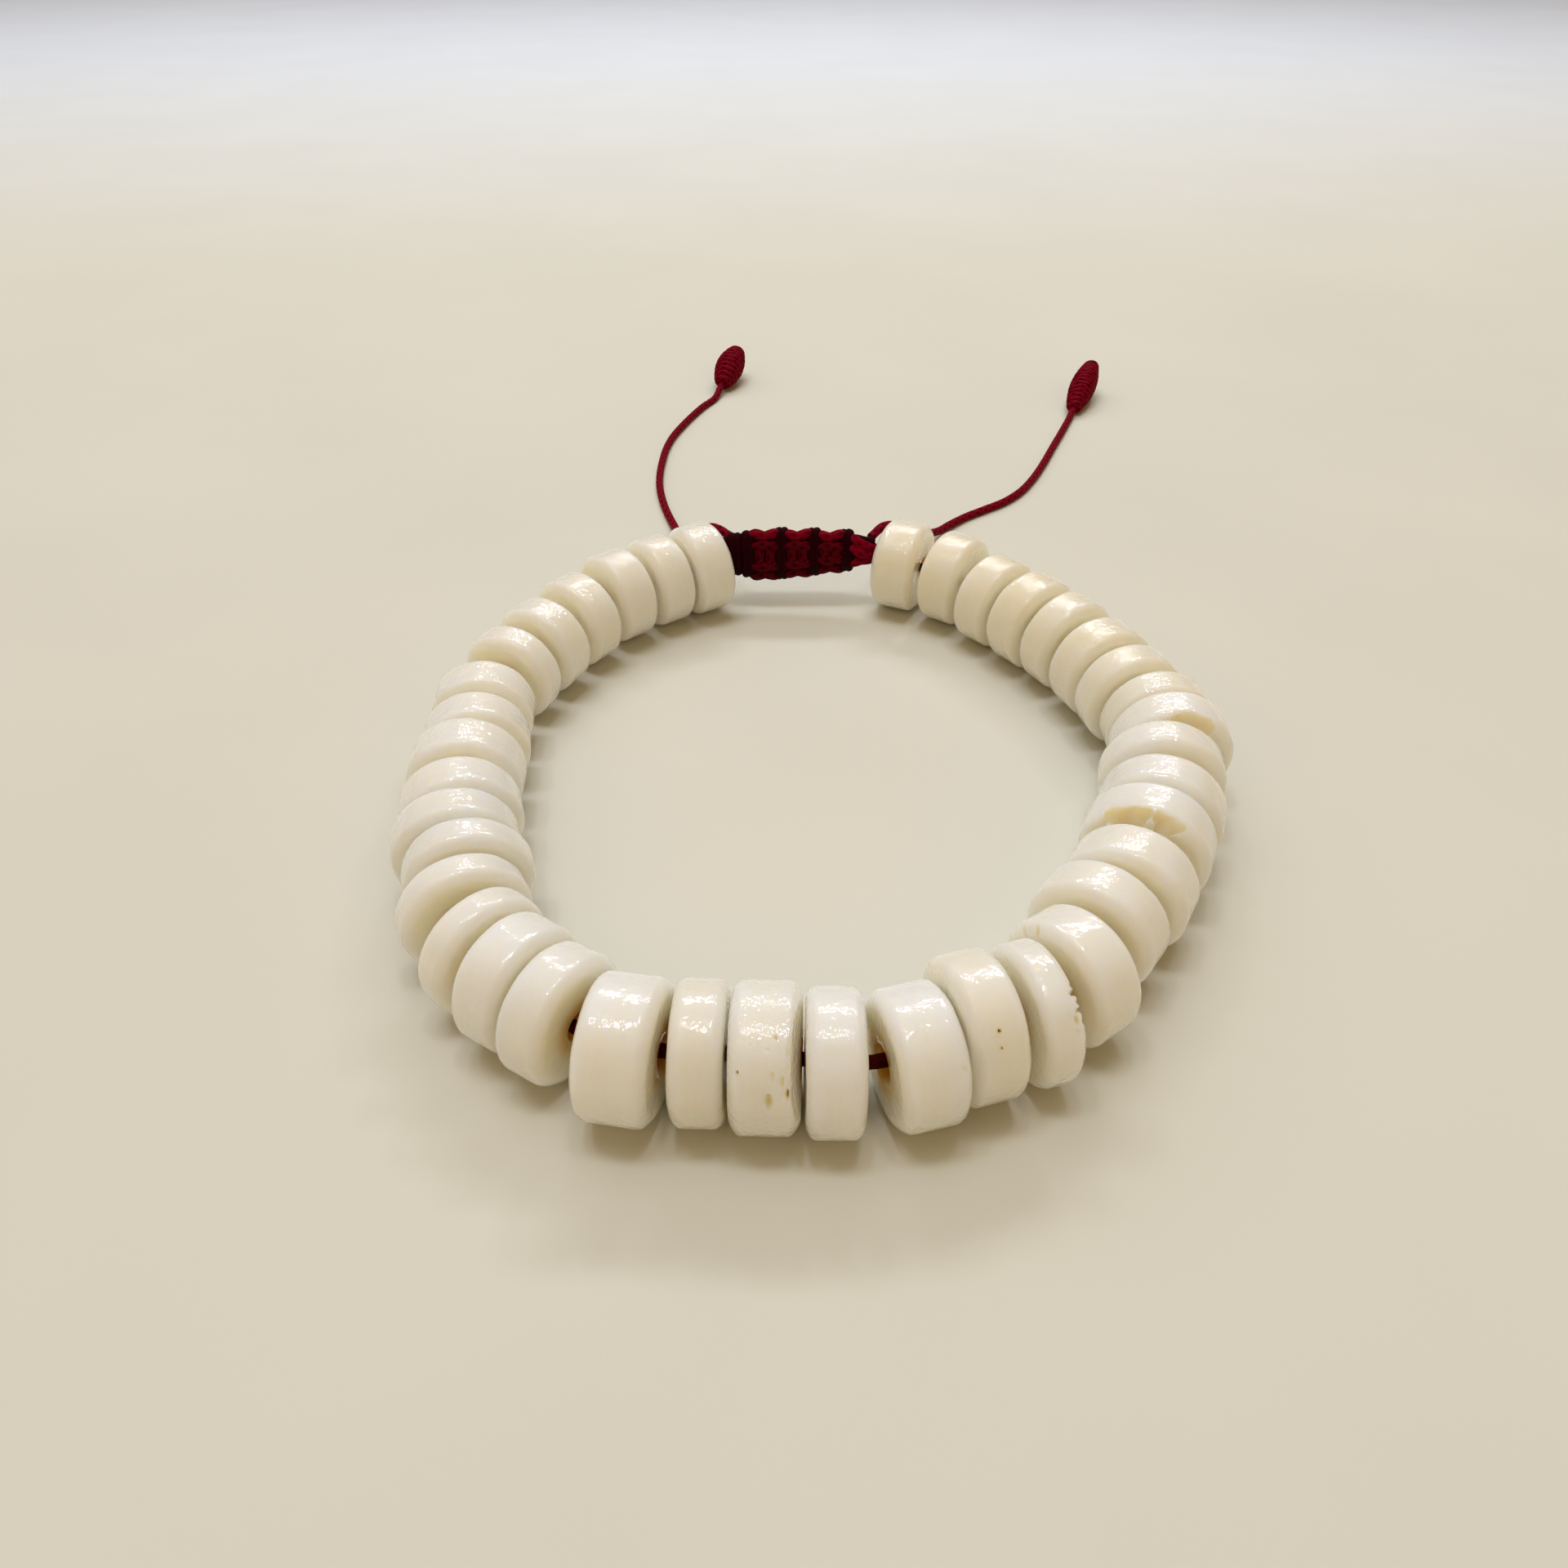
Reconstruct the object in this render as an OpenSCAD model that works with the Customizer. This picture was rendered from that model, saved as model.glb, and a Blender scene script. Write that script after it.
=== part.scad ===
// Bracelet of thick bone discs on a knotting cord, closed by a sliding square-knot braid.
// Millimetres, +Z up. It lies on z = 0 with the middle of the bead loop at the origin;
// the front row of beads faces -Y and the sliding knot is at the back.

/* [Beads] */
// Hole drilled through every bead
hole_d = 2.6; // [2.2:0.1:3]
// Rounding of the ground rims
rim_round = 0.8; // [0.4:0.1:0.9]
// Radius of the slight barrel across a bead's rim
barrel_r = 8; // [6:0.5:14]

/* [Thread] */
// Diameter of the knotting cord
cord_d = 1; // [0.8:0.1:1.1]
// How far above the middle of the beads the thread runs
thread_lift = 0.1; // [0:0.1:0.2]

/* [Slide knot] */
// Width of the braid across its flat face at its widest knot
braid_w = 6.4; // [5.8:0.1:6.6]
// Thickness of the braid
braid_t = 3.2; // [2.8:0.1:3.4]
// Distance from one knot to the next
knot_pitch = 3.7; // [3.5:0.1:3.8]
// Lean of the flat face away from the front
braid_lean = 12; // [0:1:15]

/* [End knots] */
// Length and diameter of the left tail's knot
left_knot = [10.5, 5]; // [4:0.1:16]
// Length and diameter of the right tail's knot
right_knot = [14, 4.3]; // [4:0.1:16]
// Radius of a knot's foot, where its cord enters
knot_foot_r = 0.7; // [0.6:0.1:1]

/* [Hidden] */
// The loop: ten arcs of one length, each bending by its own number of degrees,
// from the left end of the slide knot round the front to its right end
loop_start = [-11.07, 35.25];
loop_heading = -153;
arc_length = 20;
BENDS = [28, 36, 12, 51, 34, 44, 17, 43, 21, 40];

// One row for each bead in threading order. Beads are ground by hand, so no two match,
// and on their loose holes they turn and shift a little off the line of the loop.
// GAP is the space before the bead, YAW its turn in degrees, SIDE its shift towards the inside.
DIAMETER = 0;
THICKNESS = 1;
GAP = 2;
YAW = 3;
SIDE = 4;
BEADS = [
    // back left, from the slide knot
    [10.1, 4.6, 0.0, 2, 0.1],
    [9.8, 4.3, 0.6, -1, -0.2],
    [9.9, 4.5, 1.1, -3, -0.3],
    [9.6, 4.2, 1.6, -2, 0.1],
    [9.6, 4.2, 1.9, -2, 0.4],
    [9.4, 3.5, 1.7, -4, 0.1],
    // left side
    [9.5, 4.5, 2.7, 9, -0.3],
    [9.6, 4.2, 0.9, 7, 0.1],
    [10.1, 4.6, 0.5, -1, 0.0],
    [10.2, 4.2, 1.2, 8, 0.0],
    [10.3, 3.8, 0.2, 5, -0.2],
    [10.2, 3.2, 0.1, 2, 0.7],
    [10.0, 3.0, 0.9, 2, -0.1],
    // front left
    [9.9, 2.9, 1.6, 11, -0.2],
    [10.0, 4.1, 0.8, 9, 0.0],
    [9.9, 3.9, 0.4, 0, -0.1],
    // front row
    [10.4, 5.2, 1.3, 9, -1.0],
    [10.0, 3.6, 0.5, 9, 0.2],
    [10.2, 4.6, 0.4, 2, 0.3],
    [10.1, 4.0, 0.3, -4, -0.1],
    [10.0, 4.8, 1.1, 0, -0.5],
    [10.5, 4.2, 0.2, -9, 0.2],
    // front right
    [10.2, 2.9, 0.8, -16, -0.8],
    [10.2, 4.2, 1.2, -11, -0.4],
    [10.2, 4.3, 1.4, -1, 0.5],
    [10.2, 4.5, 0.8, -1, -0.1],
    // right side
    [10.6, 4.4, 1.0, 2, 0.0],
    [10.5, 4.1, 0.3, 0, -0.2],
    [10.6, 3.6, 1.1, 4, 0.1],
    [10.6, 4.1, 0.6, 1, -0.9],
    [9.9, 3.7, 0.5, -2, -0.9],
    [9.8, 3.9, 1.0, 0, -0.1],
    // back right, to the slide knot
    [9.9, 4.5, 0.7, -2, -0.1],
    [9.8, 4.1, 1.4, 2, -0.2],
    [9.9, 4.5, 0.7, 0, 0.0],
    [9.7, 4.3, 1.0, 0, 0.0],
    [10.1, 4.6, 1.6, 4, -0.4],
    [10.1, 4.9, 1.5, 3, 0.0]
];

// Chips broken out of three rims: the bead's number, the face (-1 is the one nearer the start of
// the thread), degrees round the rim from its top towards the outside, and the chip's radius
CHIP_BEAD = 0;
CHIP_FACE = 1;
CHIP_TURN = 2;
CHIP_R = 3;
CHIPS = [
    [23, 1, 28, 0.9],
    [23, 1, 46, 0.8],
    [27, -1, -18, 1.3],
    [27, -1, 20, 1.2],
    [30, -1, 32, 1.3]
];
// How far outside the rim's corner a chip's middle lies, as a share of its radius
chip_out = 0.1;

// The braid's knots from left to right, one to each pitch: the height of the knot's middle,
// and its share of the full width, which falls off as the braid was pulled tighter
MIDDLE = 0;
SHARE = 1;
KNOTS = [
    [6.0, 1.00],
    [6.1, 0.97],
    [6.3, 0.90],
    [6.5, 0.78]
];
first_knot_x = -7.4;
braid_y = 35.5;
// The turn of cord that starts the braid, close beside its first knot
end_turn_x = -9;
end_turn = [5.75, 0.85];
end_turn_t = 2.4;
// Core cords inside the braid, and their bare neck at its right end
core_z = 6;
core_size = [3.8, 2.5];
neck_z = 6.1;
neck_size = [2.8, 1.9];
neck_end_x = 6.3;
// Where the thread enters the braid at each end
thread_left_end = [-10.6, 35.3, 5.3];
thread_right_end = [6.9, 35.6, 5.7];
// Foot of each cord that comes out of the braid
mouth_d = 1.4;
mouth_length = 1.9;

// Free tails, from the braid to the foot of each end knot
LEFT_ROUTE = [
    [-9.6, 37.2, 7.4], [-11.1, 38.7, 7.6], [-12.4, 40.4, 6.9], [-13.6, 42.5, 5.5],
    [-14.8, 45.0, 4.0], [-15.9, 47.8, 2.6], [-16.9, 50.8, 1.1], [-17.8, 54.0, 0.6],
    [-18.9, 57.7, 0.5], [-19.9, 61.8, 0.5], [-20.6, 66.0, 0.5], [-20.9, 70.3, 0.5],
    [-20.9, 74.6, 0.5], [-20.7, 78.9, 0.5], [-20.1, 83.1, 0.5], [-19.0, 87.3, 0.5],
    [-17.7, 91.4, 0.5], [-16.2, 95.4, 0.5], [-14.5, 99.1, 0.5], [-13.6, 102.5, 1.4]
];
RIGHT_ROUTE = [
    [6.6, 37.3, 7.2], [8.0, 39.1, 7.6], [9.4, 41.0, 6.9], [11.0, 43.2, 5.5],
    [12.7, 45.7, 4.0], [14.5, 48.4, 2.2], [16.3, 51.2, 1.0], [18.2, 53.9, 0.6],
    [20.5, 56.3, 0.5], [23.3, 58.5, 0.5], [26.3, 60.9, 0.5], [29.0, 64.1, 0.5],
    [31.2, 67.9, 0.5], [33.1, 71.9, 0.5], [34.8, 75.9, 0.5], [36.4, 79.8, 0.5],
    [38.0, 83.6, 0.5], [39.6, 87.5, 0.5], [40.9, 90.7, 0.6], [41.7, 92.6, 1.05]
];
cord_sides = 8;

bead_count = len(BEADS);
function two(i) = i < 10 ? str("0", i) : str(i);

// Path of the loop
function total(v, n) = n == 0 ? 0 : v[n - 1] + total(v, n - 1);
function heading_of(k) = loop_heading + total(BENDS, k);
function arc_step(heading, bend, length) =
    let (per_mm = bend / arc_length, r = 180 / PI / per_mm)
    r * [sin(heading + per_mm * length) - sin(heading), cos(heading) - cos(heading + per_mm * length)];
function arc_start(k) =
    k == 0 ? loop_start : arc_start(k - 1) + arc_step(heading_of(k - 1), BENDS[k - 1], arc_length);
function arc_at(s) = min(floor(s / arc_length), len(BENDS) - 1);
function path_point(s) =
    let (k = arc_at(s)) arc_start(k) + arc_step(heading_of(k), BENDS[k], s - k * arc_length);
function path_heading(s) =
    let (k = arc_at(s)) heading_of(k) + BENDS[k] * (s / arc_length - k);

// Distance along the loop to the middle of each bead
STATIONS = [
    for (i = 0, s = 0; i < bead_count; s = s + BEADS[i][GAP] + BEADS[i][THICKNESS], i = i + 1)
        s + BEADS[i][GAP] + BEADS[i][THICKNESS] / 2
];

// Middle and heading of each bead, and the middles of its two faces
function bead_heading(i) = path_heading(STATIONS[i]) + BEADS[i][YAW];
function bead_centre(i) =
    let (h = path_heading(STATIONS[i]), p = path_point(STATIONS[i]), side = BEADS[i][SIDE])
    [p[0] - side * sin(h), p[1] + side * cos(h), BEADS[i][DIAMETER] / 2];
function face_centre(i, end) =
    let (h = bead_heading(i), half = end * BEADS[i][THICKNESS] / 2)
    bead_centre(i) + half * [cos(h), sin(h), 0];

// A tube swept through points, one ring square to the run at each
function unit(v) = v / norm(v);
function run_at(pts, i) = unit(pts[min(i + 1, len(pts) - 1)] - pts[max(i - 1, 0)]);
function ring(p, run, r) =
    let (across = unit(cross([0, 0, 1], run)), up = cross(run, across))
    [
        for (k = [0 : cord_sides - 1])
            let (a = 360 * (k + 0.5) / cord_sides)
            p + r * (cos(a) * across + sin(a) * up)
    ];

module tube(pts, d) {
    // the corners lie a little outside the round cord, so that the flats come in just as far
    r = d / 2 / cos(90 / cord_sides);
    n = len(pts);
    points = [for (i = [0 : n - 1]) each ring(pts[i], run_at(pts, i), r)];
    walls = [
        for (i = [0 : n - 2])
            for (k = [0 : cord_sides - 1])
                let (a = i * cord_sides + k, b = i * cord_sides + (k + 1) % cord_sides)
                [a, a + cord_sides, b + cord_sides, b]
    ];
    start_cap = [for (k = [0 : cord_sides - 1]) k];
    end_cap = [for (k = [cord_sides - 1 : -1 : 0]) (n - 1) * cord_sides + k];
    polyhedron(points = points, faces = concat([start_cap], walls, [end_cap]), convexity = 6);
}

// A drilled disc with round rims and a faint barrel, its hole along Z
module drilled_disc(d, t) {
    r = d / 2;
    flat = t / 2 - rim_round;
    rotate_extrude($fn = 48)
        intersection() {
            union() {
                translate([hole_d / 2, -t / 2]) square([r - rim_round - hole_d / 2, t]);
                translate([hole_d / 2, -flat]) square([r - hole_d / 2, 2 * flat]);
                for (end = [-1, 1])
                    translate([r - rim_round, end * flat]) circle(r = rim_round, $fn = 32);
            }
            translate([r - barrel_r, 0]) circle(r = barrel_r, $fn = 96);
        }
}

// Places a bead's children with the hole along the thread and the rim on z = 0
module at_bead(i) {
    translate(bead_centre(i)) rotate([0, 0, bead_heading(i)]) rotate([0, 90, 0]) children();
}

// A hollow broken from a rim edge
module chip(bead, c) {
    out = chip_out * c[CHIP_R];
    // a standing bead's own X points down, so the top of its rim is at 180 degrees
    rotate([0, 0, 180 + c[CHIP_TURN]])
        translate([bead[DIAMETER] / 2 + out, 0, c[CHIP_FACE] * (bead[THICKNESS] / 2 + out)])
            sphere(r = c[CHIP_R], $fn = 24);
}

module bead(i) {
    color([0.91, 0.88, 0.80])
        at_bead(i)
            difference() {
                drilled_disc(BEADS[i][DIAMETER], BEADS[i][THICKNESS]);
                for (c = CHIPS)
                    if (c[CHIP_BEAD] == i + 1) chip(BEADS[i], c);
            }
}

// Between two beads the thread passes midway between the mouths of their holes
THREAD_ROUTE = concat(
    [thread_left_end],
    [
        for (i = [0 : bead_count - 2])
            (face_centre(i, 1) + face_centre(i + 1, -1)) / 2 + [0, 0, thread_lift]
    ],
    [thread_right_end]
);

module thread() {
    color([0.36, 0.07, 0.12]) tube(THREAD_ROUTE, cord_d);
}

// A rounded bar of one knot, standing across the braid
module knot_bar(x, knot, d) {
    h = braid_w * knot[SHARE];
    translate([x, braid_y, knot[MIDDLE]])
        rotate([-braid_lean, 0, 0]) {
            cylinder(d = d, h = h - d, center = true, $fn = 32);
            for (end = [-1, 1])
                translate([0, 0, end * (h - d) / 2]) sphere(d = d, $fn = 32);
        }
}

// A flat bundle of core cords from one x to another
module bundle(x0, x1, z, size) {
    translate([x0, braid_y, z])
        rotate([90, 0, 90])
            linear_extrude(x1 - x0) {
                square([size[1], size[0] - size[1]], center = true);
                for (end = [-1, 1])
                    translate([0, end * (size[0] - size[1]) / 2]) circle(d = size[1], $fn = 32);
            }
}

// Turns its children's Z along a run and moves them to a point
module along(point, run) {
    translate(point) rotate([0, acos(run[2]), atan2(run[1], run[0])]) children();
}

// Where a cord comes out of the braid: the foot meets the cord's end face to face
module mouth(end, next) {
    along(end, unit(end - next)) cylinder(d = mouth_d, h = mouth_length, $fn = 32);
}

module slide_knot() {
    last_knot_x = first_knot_x + (len(KNOTS) - 1) * knot_pitch;
    color([0.45, 0.06, 0.13]) {
        knot_bar(end_turn_x, end_turn, end_turn_t);
        for (i = [0 : len(KNOTS) - 1])
            knot_bar(first_knot_x + i * knot_pitch, KNOTS[i], braid_t);
        bundle(end_turn_x, last_knot_x, core_z, core_size);
        bundle(last_knot_x, neck_end_x, neck_z, neck_size);
        mouth(THREAD_ROUTE[0], THREAD_ROUTE[1]);
        mouth(THREAD_ROUTE[bead_count], THREAD_ROUTE[bead_count - 1]);
        mouth(LEFT_ROUTE[0], LEFT_ROUTE[1]);
        mouth(RIGHT_ROUTE[0], RIGHT_ROUTE[1]);
    }
}

// A spindle of wound cord standing on its foot
module spindle(length, d) {
    rise = d / 2 - knot_foot_r;
    bow_r = (length * length / 4 + rise * rise) / (2 * rise);
    rotate_extrude($fn = 32)
        intersection() {
            square([d / 2, length]);
            translate([d / 2 - bow_r, length / 2]) circle(r = bow_r, $fn = 96);
        }
}

// The knot carries on from its cord's last stretch, tip up and belly on the surface
module end_knot(route, size) {
    foot = route[len(route) - 1];
    along(foot, unit(foot - route[len(route) - 2])) spindle(size[0], size[1]);
}

module tail_left() {
    color([0.40, 0.07, 0.14]) tube(LEFT_ROUTE, cord_d);
}

module tail_right() {
    color([0.40, 0.07, 0.14]) tube(RIGHT_ROUTE, cord_d);
}

module end_knot_left() {
    color([0.45, 0.06, 0.13]) end_knot(LEFT_ROUTE, left_knot);
}

module end_knot_right() {
    color([0.45, 0.06, 0.13]) end_knot(RIGHT_ROUTE, right_knot);
}

for (i = [0 : bead_count - 1])
    bead(i);
thread();
slide_knot();
tail_left();
tail_right();
end_knot_left();
end_knot_right();
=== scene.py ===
"""Disc-bead bracelet with a square-knot slide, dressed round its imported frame."""

import math

import bmesh
import bpy
import numpy as np
from mathutils import Matrix, Vector


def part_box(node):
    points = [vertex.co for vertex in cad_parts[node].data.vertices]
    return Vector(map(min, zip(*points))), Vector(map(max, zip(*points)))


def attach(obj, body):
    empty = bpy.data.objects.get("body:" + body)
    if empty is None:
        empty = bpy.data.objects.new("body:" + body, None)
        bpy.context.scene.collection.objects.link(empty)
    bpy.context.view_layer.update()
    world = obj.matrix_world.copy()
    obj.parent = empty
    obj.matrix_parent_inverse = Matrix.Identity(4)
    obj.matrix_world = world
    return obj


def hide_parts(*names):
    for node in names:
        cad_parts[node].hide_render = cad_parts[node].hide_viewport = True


bl_info = {
    "name": "Disc-bead bracelet",
    "version": (1, 0, 0),
    "blender": (4, 5, 0),
    "location": "3D View > Sidebar > Bracelet",
    "description": "Bone disc beads on a wine-red cord, with a square-knot slide and two knotted tails",
    "category": "Object",
}

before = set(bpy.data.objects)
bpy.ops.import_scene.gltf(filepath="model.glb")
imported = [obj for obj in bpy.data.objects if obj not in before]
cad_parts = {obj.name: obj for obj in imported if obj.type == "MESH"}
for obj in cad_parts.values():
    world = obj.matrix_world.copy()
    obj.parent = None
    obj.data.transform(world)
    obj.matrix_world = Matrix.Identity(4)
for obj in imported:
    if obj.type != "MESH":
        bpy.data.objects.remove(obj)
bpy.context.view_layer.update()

MM = 0.001
UP = Vector((0, 0, 1))

BEAD_COUNT = 38

# Blender's name for the node that does a sum
MATH = "ShaderNodeMath"

# The camera that the loop of beads was fitted with, in millimetres and degrees
CAMERA_PLACE = (-3.40, -82.94, 68.0)
CAMERA_DOWN = 39.0
CAMERA_LENS = 26.25
CAMERA_FILM = 36.0

# The cord's way at the slide knot and in its tails, the same points as in the part's source, in millimetres
THREAD_LEFT_END = (-10.6, 35.3, 5.3)
THREAD_RIGHT_END = (6.9, 35.6, 5.7)
THREAD_LIFT = 0.1
LEFT_ROUTE = (
    (-9.6, 37.2, 7.4), (-11.1, 38.7, 7.6), (-12.4, 40.4, 6.9), (-13.6, 42.5, 5.5),
    (-14.8, 45.0, 4.0), (-15.9, 47.8, 2.6), (-16.9, 50.8, 1.1), (-17.8, 54.0, 0.6),
    (-18.9, 57.7, 0.5), (-19.9, 61.8, 0.5), (-20.6, 66.0, 0.5), (-20.9, 70.3, 0.5),
    (-20.9, 74.6, 0.5), (-20.7, 78.9, 0.5), (-20.1, 83.1, 0.5), (-19.0, 87.3, 0.5),
    (-17.7, 91.4, 0.5), (-16.2, 95.4, 0.5), (-14.5, 99.1, 0.5), (-13.6, 102.5, 1.4),
)
RIGHT_ROUTE = (
    (6.6, 37.3, 7.2), (8.0, 39.1, 7.6), (9.4, 41.0, 6.9), (11.0, 43.2, 5.5),
    (12.7, 45.7, 4.0), (14.5, 48.4, 2.2), (16.3, 51.2, 1.0), (18.2, 53.9, 0.6),
    (20.5, 56.3, 0.5), (23.3, 58.5, 0.5), (26.3, 60.9, 0.5), (29.0, 64.1, 0.5),
    (31.2, 67.9, 0.5), (33.1, 71.9, 0.5), (34.8, 75.9, 0.5), (36.4, 79.8, 0.5),
    (38.0, 83.6, 0.5), (39.6, 87.5, 0.5), (40.9, 90.7, 0.6), (41.7, 92.6, 1.05),
)

# The slide knot: where its knots stand along the braid, in millimetres, and how it leans back, in degrees
KNOT_PITCH = 3.7
KNOT_XS = (-7.4, -3.7, 0.0, 3.7)
KNOT_MIDDLES = (6.0, 6.1, 6.3, 6.5)
KNOT_SHARES = (1.00, 0.97, 0.90, 0.78)
BRAID_Y = 35.5
BRAID_LEAN = 12.0
BRAID_WIDTH = 6.4
END_TURN_X = -9.0

# The cords of the braid between one crest and the next. Each point is a share of the way from crest to crest,
# the way down from the edge in mm, and the way out to the front in mm
EDGE_LOOPS = (
    ((0.08, 1.20, 0.00), (0.20, 0.75, 0.40), (0.50, 1.00, 0.55), (0.80, 0.75, 0.40), (0.92, 1.20, 0.00)),
    ((0.10, 2.35, 0.45), (0.20, 2.05, 0.90), (0.50, 1.95, 1.05), (0.80, 2.05, 0.90), (0.90, 2.35, 0.45)),
)
# The bars that cross its face between the edge loops: the place of each as a share of the way, how far they
# stand out in mm, how much of that is lost at their ends, and their points as shares of the reach
BAR_PLACES = (0.34, 0.66)
BAR_OUT = 1.05
BAR_DIP = 0.35
BAR_POINTS = (-1.15, -0.8, -0.3, 0.3, 0.8, 1.15)
# The wraps at the crests, two side by side at each: how far apart they lie and how far they come out at the
# front and back, in mm, the share of the braid's width that each spans, and the degrees between their points
WRAP_APART = 0.6
WRAP_OUT = (0.85, 1.00)
WRAP_SHARES = (0.78, 0.86, 0.95, 0.88, 0.77)
WRAP_STEP = 24
# The core cords: how far each lies from the braid's middle, the share of that at places along the braid, and
# how many points each has
CORE_PLACES = (-1.8, -0.6, 0.6, 1.8)
CORE_XS = (-10.4, -7.4, 3.7, 6.9)
CORE_SHARES = (0.75, 1.00, 0.78, 0.45)
CORE_POINTS = 14
# The last loop, which runs out to the right into the first bead: x, up from the braid's middle, out, in mm
LAST_LOOPS = (
    ((3.85, 1.3, 0.2), (4.4, 1.45, 0.6), (5.2, 0.95, 0.65), (6.1, 0.50, 0.5), (6.9, 0.35, 0.1)),
    ((3.90, 0.5, 0.6), (4.5, 0.45, 1.0), (5.3, -0.10, 0.9), (6.1, -0.35, 0.6), (6.9, -0.30, 0.1)),
    ((3.90, -1.2, 0.3), (4.5, -1.15, 0.7), (5.3, -1.00, 0.6), (6.1, -0.95, 0.4), (6.9, -0.80, 0.0)),
)

# The end knots: how long and how thick each is in mm, and its turns of cord
END_KNOTS = {"left": (10.0, 4.6, 10), "right": (13.6, 4.1, 14)}
# Each one bows like half a sine wave: the share of the bow that its tips keep, where on the wave it starts,
# and how far it runs
KNOT_TIP = 0.28
KNOT_START, KNOT_RUN = 0.06, 0.88
POINTS_PER_TURN = 24
# The straight cord inside an end knot: its share of the knot's length, and its points
CORE_REACH = 0.94
KNOT_CORE_POINTS = 12

# The braided cord: mm between its rings, its sides, its strands, its plait as a share of its diameter, and
# its relief in mm
RING_SPACING = 0.17
CORD_SIDES = 22
STRANDS = 8.0
PLAIT_SHARE = 1.5
CORD_RELIEF = 0.025
# How closely the points of a cord's way lie, in mm, and those of the slide's cords
CORD_STEP = 0.3
SLIDE_STEP = 0.25

# Half the floor's side, in metres, and the width of the clouds in its tone, in mm
FLOOR_REACH = 1.2
FLOOR_CLOUD = 40
# Soft lamps: place, aim, width, depth in metres, power in watts, colour, and whether the gloss mirrors it
LAMPS = (
    ("window", (-0.50, 0.55, 0.62), (0, 0, 0), 0.60, 0.45, 1.3, "#E6EEFF", False),
    ("back_pane_left", (-0.10, 0.60, 0.60), (0, 0, 0), 0.15, 0.08, 0.75, "#F4F7FF", True),
    ("back_pane", (0.10, 0.60, 0.60), (0, 0, 0), 0.15, 0.08, 0.75, "#F4F7FF", True),
    ("back_pane_right", (0.30, 0.60, 0.60), (0, 0, 0), 0.15, 0.08, 0.75, "#F4F7FF", True),
    ("roof_pane_left", (-0.26, 0.0, 0.90), (0, 0, 0), 0.13, 0.07, 0.68, "#F4F7FF", True),
    ("roof_pane", (-0.08, 0.0, 0.90), (0, 0, 0), 0.13, 0.07, 0.68, "#F4F7FF", True),
    ("roof_pane_right", (0.10, 0.0, 0.90), (0, 0, 0), 0.13, 0.07, 0.68, "#F4F7FF", True),
    ("room_left", (-0.75, -0.65, 0.80), (0, 0, 0), 0.80, 0.60, 1.3, "#FFE6C2", False),
    ("room_right", (0.60, -0.90, 0.75), (0, 0, 0), 0.80, 0.60, 1.5, "#FFE0B4", False),
    ("far_window", (0.0, 0.45, 0.50), (0, 1.3, 0), 1.40, 0.40, 3.6, "#78A8FF", False),
)
# The sky's even light from above: where it comes from, W/m2, how wide it looks in degrees, and its colour
DAYLIGHT = ((-0.08, 0.10, 0.90), 0.76, 45.0, "#F2F6FF")
# The backdrop as it is seen, and the dimmer, warmer light that the room gives the object
BACKDROP = "#DCD6C6"
WORLD_COLOUR = "#F2CB80"
WORLD_STRENGTH = 0.28

# How each bead was ground: its own flats are drawn from this seed. One lies about every so many degrees round
# it, shifted and tilted by up to so many degrees, and is up to so many mm deep
GRINDING_SEED = 11
FLAT_EVERY = 45
FLAT_SHIFT = 20
FLAT_TILT = 12
FLAT_DEPTH = 0.06
# The whole form wanders too. Each row is the width of a wander in mm, and its height as a share of the
# unevenness, which is in mm. Each bead's wander is drawn from its number times the seed step
WANDERS = ((6.0, 0.30), (1.6, 0.045))
UNEVENNESS = 1.0
SEED_STEP = 7.0
# The broken edge that the drill leaves at the hole, in mm, the points of a rounded corner, and the widest gap
# that merging closes, in mm
DRILL_ROUND = 0.2
CORNER_POINTS = 10
MERGE_GAP = 0.001

# Flats ground on particular beads: bead, turn from the top towards the outside in degrees, tilt towards the
# next bead in degrees, and depth in mm
FLATS = (
    (17, 112, -18, 0.12), (17, 118, 10, 0.10), (17, 92, -24, 0.10), (18, 108, 18, 0.06),
    (18, 104, -18, 0.06), (19, 112, -24, 0.06), (19, 110, 22, 0.06), (20, 108, -20, 0.12),
    (20, 104, 20, 0.12), (21, 108, -14, 0.12), (21, 104, 16, 0.10), (22, 104, 8, 0.08), (17, 24, 18, 0.10),
    (20, 34, 0, 0.06), (16, 104, 8, 0.12), (19, 42, 78, 0.55), (19, 40, 58, 0.15), (22, 70, -46, 0.20),
)

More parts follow.
